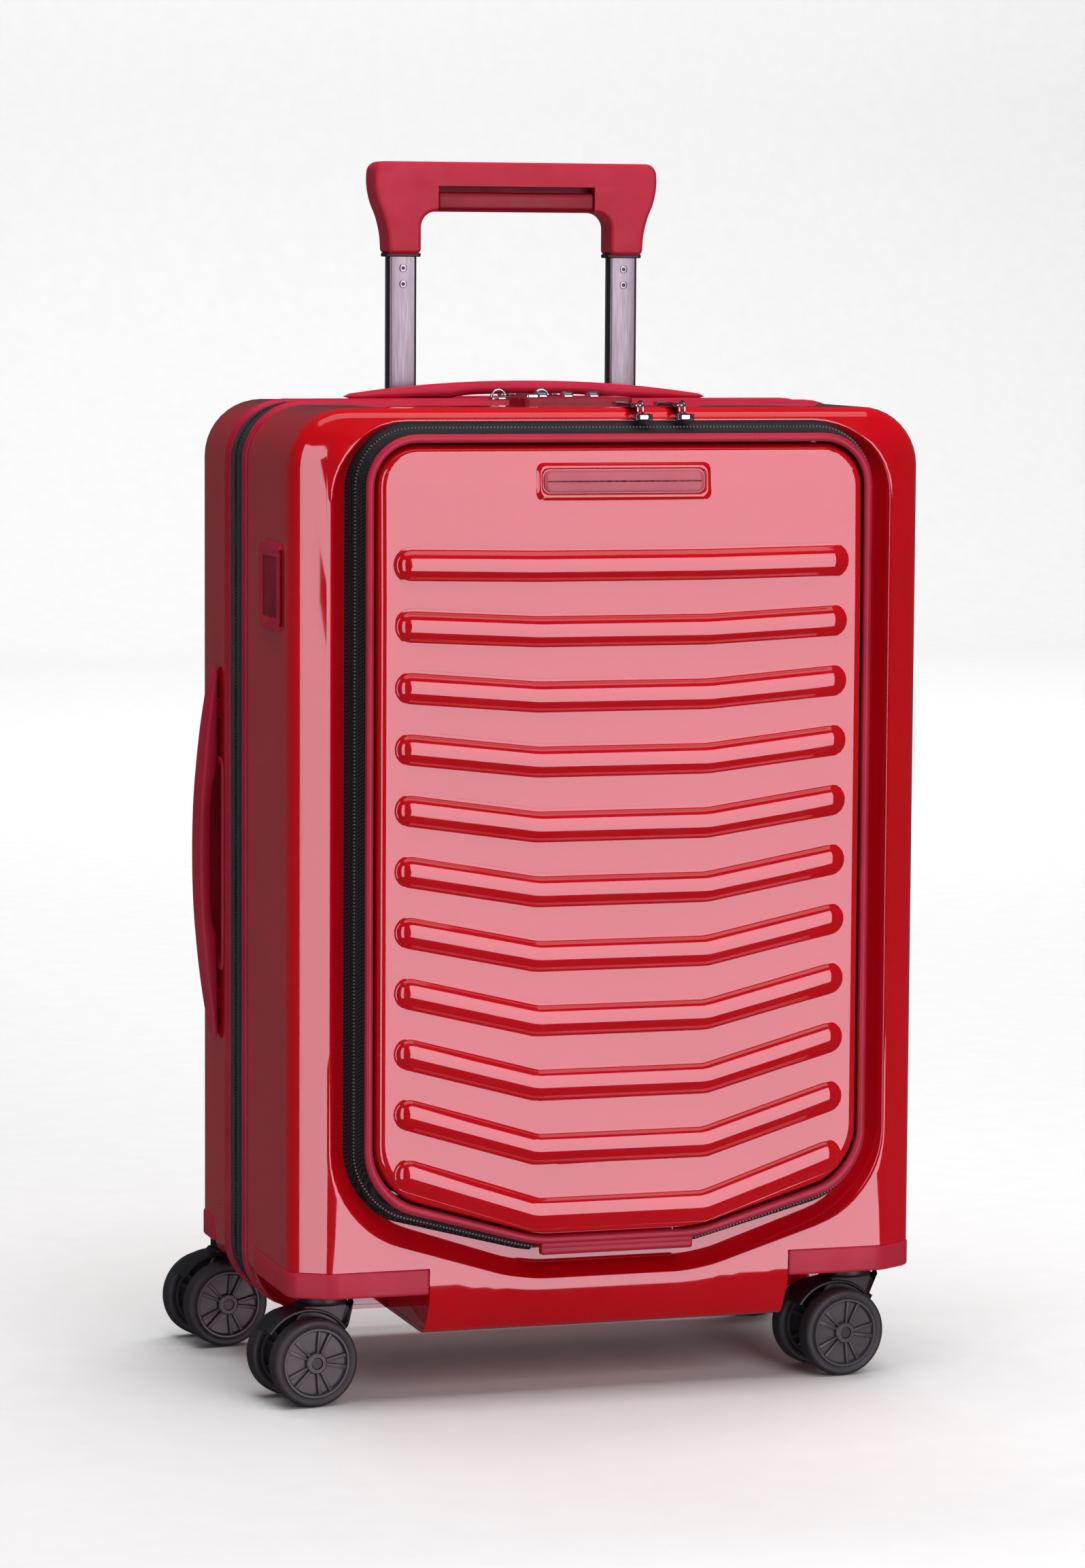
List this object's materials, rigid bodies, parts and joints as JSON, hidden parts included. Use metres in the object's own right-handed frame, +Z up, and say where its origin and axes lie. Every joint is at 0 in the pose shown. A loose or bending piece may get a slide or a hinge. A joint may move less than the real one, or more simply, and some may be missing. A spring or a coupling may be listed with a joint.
{
  "type": "hard-shell cabin suitcase",
  "caption": "Glossy red hard-shell cabin trolley case with a ribbed zipped front compartment, telescopic handle and twin-wheel spinner casters.",
  "frame": {"origin": "middle of the bounding box on the floor under the wheels", "axes": "+Z up, -Y towards the ribbed front door, +X to the right of someone facing the front"},
  "size_m": [0.3782, 0.2498, 0.673],
  "materials": {
    "gloss_shell": "high gloss polycarbonate",
    "matte_trim": "satin moulded plastic",
    "zip_tape": "woven herringbone tape",
    "lining": "woven polyester lining",
    "chrome_fittings": "polished",
    "badge": "plain tinted plate, no lettering",
    "leather_pull": "dark pull tab",
    "gunmetal_tube": "dark anodised",
    "black_plastic": "satin",
    "wheel_tyre": "soft polyurethane tyre"
  },
  "bodies": {
    "rear_case": {"rear_shell": "gloss_shell", "rear_piping": "matte_trim", "rear_zip_tape": "zip_tape", "top_handle_scoop": "matte_trim", "side_handle_scoop": "matte_trim", "grip_well": "matte_trim", "handle_foot": "black_plastic", "outer_tube_left": "gunmetal_tube", "outer_tube_right": "gunmetal_tube", "corner_bracket_rear_left": "matte_trim", "corner_bracket_rear_right": "matte_trim"},
    "front_case": {"front_shell": "gloss_shell", "front_piping": "matte_trim", "front_zip_tape": "zip_tape", "frame_zip_tape": "zip_tape", "pocket_tray": "lining", "divider_panel": "lining", "lock_housing": "matte_trim", "name_tag_holder": "matte_trim", "corner_bracket_front_left": "matte_trim", "corner_bracket_front_right": "matte_trim"},
    "front_door": {"front_door": "gloss_shell", "door_piping": "matte_trim", "door_zip_tape": "zip_tape", "door_hinge_tab": "matte_trim", "badge_plate": "badge"},
    "middle_stage": {"middle_tube_left": "gunmetal_tube", "middle_tube_right": "gunmetal_tube"},
    "grip_stage": {"inner_tube_left": "gunmetal_tube", "inner_tube_right": "gunmetal_tube", "grip": "matte_trim"},
    "release_bar": {"release_bar": "matte_trim"},
    "top_handle": {"top_handle": "matte_trim"},
    "side_handle": {"side_handle": "matte_trim"},
    "name_tag_card": {"name_tag_card": "black_plastic"},
    "lock_button": {"lock_button": "matte_trim"},
    "lock_dial_1": {"lock_dial_1": "chrome_fittings"},
    "lock_dial_2": {"lock_dial_2": "chrome_fittings"},
    "lock_dial_3": {"lock_dial_3": "chrome_fittings"},
    "main_slider_1": {"main_slider_1": "chrome_fittings"},
    "main_pull_1": {"main_pull_1": "chrome_fittings"},
    "main_slider_2": {"main_slider_2": "chrome_fittings"},
    "main_pull_2": {"main_pull_2": "chrome_fittings"},
    "pocket_slider_1": {"pocket_slider_1": "chrome_fittings"},
    "pocket_pull_1": {"pocket_pull_1": "leather_pull"},
    "pocket_slider_2": {"pocket_slider_2": "chrome_fittings"},
    "pocket_pull_2": {"pocket_pull_2": "leather_pull"},
    "caster_front_left": {"caster_fork_front_left": "black_plastic"},
    "wheel_front_left_outer": {"wheel_front_left_outer": "wheel_tyre"},
    "wheel_front_left_inner": {"wheel_front_left_inner": "wheel_tyre"},
    "caster_front_right": {"caster_fork_front_right": "black_plastic"},
    "wheel_front_right_outer": {"wheel_front_right_outer": "wheel_tyre"},
    "wheel_front_right_inner": {"wheel_front_right_inner": "wheel_tyre"},
    "caster_rear_left": {"caster_fork_rear_left": "black_plastic"},
    "wheel_rear_left_outer": {"wheel_rear_left_outer": "wheel_tyre"},
    "wheel_rear_left_inner": {"wheel_rear_left_inner": "wheel_tyre"},
    "caster_rear_right": {"caster_fork_rear_right": "black_plastic"},
    "wheel_rear_right_outer": {"wheel_rear_right_outer": "wheel_tyre"},
    "wheel_rear_right_inner": {"wheel_rear_right_inner": "wheel_tyre"}
  },
  "joints": [
    {"name": "front_half_hinge", "type": "hinge", "parent": "rear_case", "child": "front_case", "pos_m": [0.18962, 0.02312, 0.29], "axis": [0, 0, 1], "range_deg": [0, 150]},
    {"name": "front_door_hinge", "type": "hinge", "parent": "front_case", "child": "front_door", "pos_m": [0.00962, -0.11088, 0.082], "axis": [1, 0, 0], "range_deg": [0, 85]},
    {"name": "middle_stage_slide", "type": "slide", "parent": "rear_case", "child": "middle_stage", "axis": [0, 0, 1], "range_m": [0, 0.2]},
    {"name": "grip_slide", "type": "slide", "parent": "middle_stage", "child": "grip_stage", "axis": [0, 0, 1], "range_m": [-0.122, 0.19]},
    {"name": "release_bar_press", "type": "slide", "parent": "grip_stage", "child": "release_bar", "axis": [0, 0, 1], "range_m": [0, 0.003], "stiffness_N_per_m": 400},
    {"name": "top_handle_lift", "type": "slide", "parent": "rear_case", "child": "top_handle", "axis": [0, 0, 1], "range_m": [0, 0.012], "stiffness_N_per_m": 300},
    {"name": "side_handle_lift", "type": "slide", "parent": "rear_case", "child": "side_handle", "axis": [-1, 0, 0], "range_m": [0, 0.012], "stiffness_N_per_m": 300},
    {"name": "name_tag_slide", "type": "slide", "parent": "front_case", "child": "name_tag_card", "axis": [0, -1, 0], "range_m": [0, 0.03]},
    {"name": "lock_button_press", "type": "slide", "parent": "front_case", "child": "lock_button", "axis": [0, 0, -1], "range_m": [0, 0.0012], "stiffness_N_per_m": 250},
    {"name": "lock_dial_1_turn", "type": "hinge", "parent": "front_case", "child": "lock_dial_1", "pos_m": [-0.00338, -0.00938, 0.5392], "axis": [1, 0, 0], "continuous": true},
    {"name": "lock_dial_2_turn", "type": "hinge", "parent": "front_case", "child": "lock_dial_2", "pos_m": [0.01162, -0.00938, 0.5392], "axis": [1, 0, 0], "continuous": true},
    {"name": "lock_dial_3_turn", "type": "hinge", "parent": "front_case", "child": "lock_dial_3", "pos_m": [0.02662, -0.00938, 0.5392], "axis": [1, 0, 0], "continuous": true},
    {"name": "main_slider_1_run", "type": "slide", "parent": "rear_case", "child": "main_slider_1", "axis": [1, 0, 0], "range_m": [-0.1, 0]},
    {"name": "main_pull_1_flip", "type": "hinge", "parent": "main_slider_1", "child": "main_pull_1", "pos_m": [-0.01758, 0.02312, 0.5431], "axis": [0, -1, 0], "range_deg": [0, 150]},
    {"name": "main_slider_2_run", "type": "slide", "parent": "rear_case", "child": "main_slider_2", "axis": [1, 0, 0], "range_m": [0, 0.1]},
    {"name": "main_pull_2_flip", "type": "hinge", "parent": "main_slider_2", "child": "main_pull_2", "pos_m": [0.00741, 0.02312, 0.5431], "axis": [0, -1, 0], "range_deg": [0, 150]},
    {"name": "pocket_slider_1_run", "type": "slide", "parent": "front_case", "child": "pocket_slider_1", "axis": [1, 0, 0], "range_m": [-0.09, 0]},
    {"name": "pocket_pull_1_flip", "type": "hinge", "parent": "pocket_slider_1", "child": "pocket_pull_1", "pos_m": [0.02321, -0.10378, 0.5404], "axis": [1, 0, 0], "range_deg": [0, 150]},
    {"name": "pocket_slider_2_run", "type": "slide", "parent": "front_case", "child": "pocket_slider_2", "axis": [1, 0, 0], "range_m": [0, 0.07]},
    {"name": "pocket_pull_2_flip", "type": "hinge", "parent": "pocket_slider_2", "child": "pocket_pull_2", "pos_m": [0.04682, -0.10378, 0.5404], "axis": [1, 0, 0], "range_deg": [0, 150]},
    {"name": "caster_front_left_swivel", "type": "hinge", "parent": "front_case", "child": "caster_front_left", "pos_m": [-0.14238, -0.06688, 0.056], "axis": [0, 0, 1], "continuous": true},
    {"name": "caster_front_right_swivel", "type": "hinge", "parent": "front_case", "child": "caster_front_right", "pos_m": [0.16162, -0.06688, 0.056], "axis": [0, 0, 1], "continuous": true},
    {"name": "caster_rear_left_swivel", "type": "hinge", "parent": "rear_case", "child": "caster_rear_left", "pos_m": [-0.15038, 0.10112, 0.056], "axis": [0, 0, 1], "continuous": true},
    {"name": "caster_rear_right_swivel", "type": "hinge", "parent": "rear_case", "child": "caster_rear_right", "pos_m": [0.16962, 0.10112, 0.056], "axis": [0, 0, 1], "continuous": true},
    {"name": "wheel_front_left_outer_spin", "type": "hinge", "parent": "caster_front_left", "child": "wheel_front_left_outer", "pos_m": [-0.15201, -0.08464, 0.0243], "axis": [-0.1392, 0.9903, 0], "continuous": true},
    {"name": "wheel_front_left_inner_spin", "type": "hinge", "parent": "caster_front_left", "child": "wheel_front_left_inner", "pos_m": [-0.15653, -0.05246, 0.0243], "axis": [-0.1392, 0.9903, 0], "continuous": true},
    {"name": "wheel_front_right_outer_spin", "type": "hinge", "parent": "caster_front_right", "child": "wheel_front_right_outer", "pos_m": [0.15199, -0.08464, 0.0243], "axis": [-0.1392, 0.9903, 0], "continuous": true},
    {"name": "wheel_front_right_inner_spin", "type": "hinge", "parent": "caster_front_right", "child": "wheel_front_right_inner", "pos_m": [0.14747, -0.05246, 0.0243], "axis": [-0.1392, 0.9903, 0], "continuous": true},
    {"name": "wheel_rear_left_outer_spin", "type": "hinge", "parent": "caster_rear_left", "child": "wheel_rear_left_outer", "pos_m": [-0.16001, 0.08336, 0.0243], "axis": [-0.1392, 0.9903, 0], "continuous": true},
    {"name": "wheel_rear_left_inner_spin", "type": "hinge", "parent": "caster_rear_left", "child": "wheel_rear_left_inner", "pos_m": [-0.16453, 0.11554, 0.0243], "axis": [-0.1392, 0.9903, 0], "continuous": true},
    {"name": "wheel_rear_right_outer_spin", "type": "hinge", "parent": "caster_rear_right", "child": "wheel_rear_right_outer", "pos_m": [0.15999, 0.08336, 0.0243], "axis": [-0.1392, 0.9903, 0], "continuous": true},
    {"name": "wheel_rear_right_inner_spin", "type": "hinge", "parent": "caster_rear_right", "child": "wheel_rear_right_inner", "pos_m": [0.15547, 0.11554, 0.0243], "axis": [-0.1392, 0.9903, 0], "continuous": true}
  ]
}
